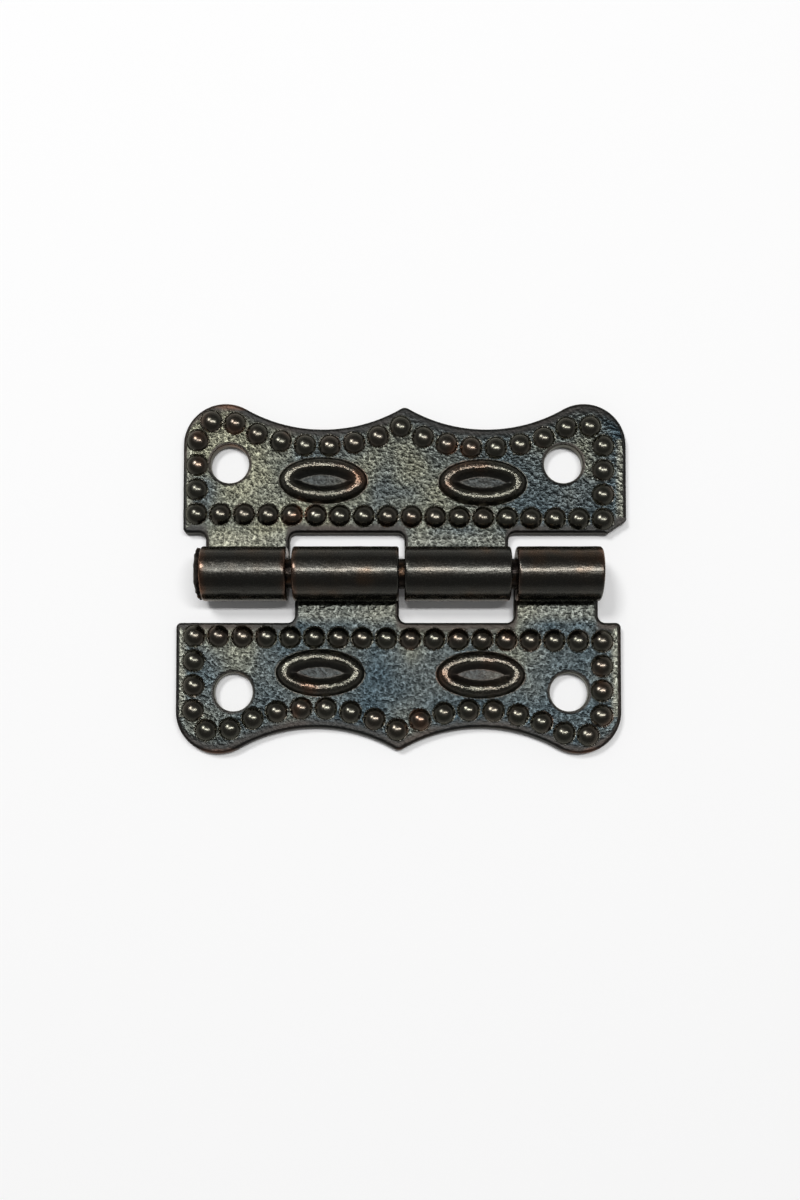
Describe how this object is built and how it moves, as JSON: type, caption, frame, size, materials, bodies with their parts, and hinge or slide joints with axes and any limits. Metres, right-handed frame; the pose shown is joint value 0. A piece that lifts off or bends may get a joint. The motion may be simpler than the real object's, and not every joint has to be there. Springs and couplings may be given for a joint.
{
  "type": "decorative hinge",
  "caption": "Small stamped box hinge: scalloped leaves with beaded borders and raised ovals, rolled knuckles on a headed pin, and plain screw holes.",
  "frame": {"origin": "middle of the barrel, on the plane of the leaves' backs", "axes": "+X along the pin, away from its head; +Y across the upper leaf; +Z out of the leaves' fronts"},
  "size_m": [0.0304, 0.0238, 0.0036],
  "materials": {
    "leaf_bronze": "steel sheet with dark antique bronze plating, grainy between the ornament and worn brown on its edges",
    "pin_bronze": "steel wire with dark antique bronze plating"
  },
  "bodies": {
    "upper_half": {"upper_leaf": "leaf_bronze", "hinge_pin": "pin_bronze"},
    "lower_half": {"lower_leaf": "leaf_bronze"}
  },
  "joints": [
    {"name": "leaf_swing", "type": "hinge", "parent": "upper_half", "child": "lower_half", "pos_m": [0, 0, 0.0018], "axis": [-1, 0, 0], "range_deg": [0, 180]}
  ]
}
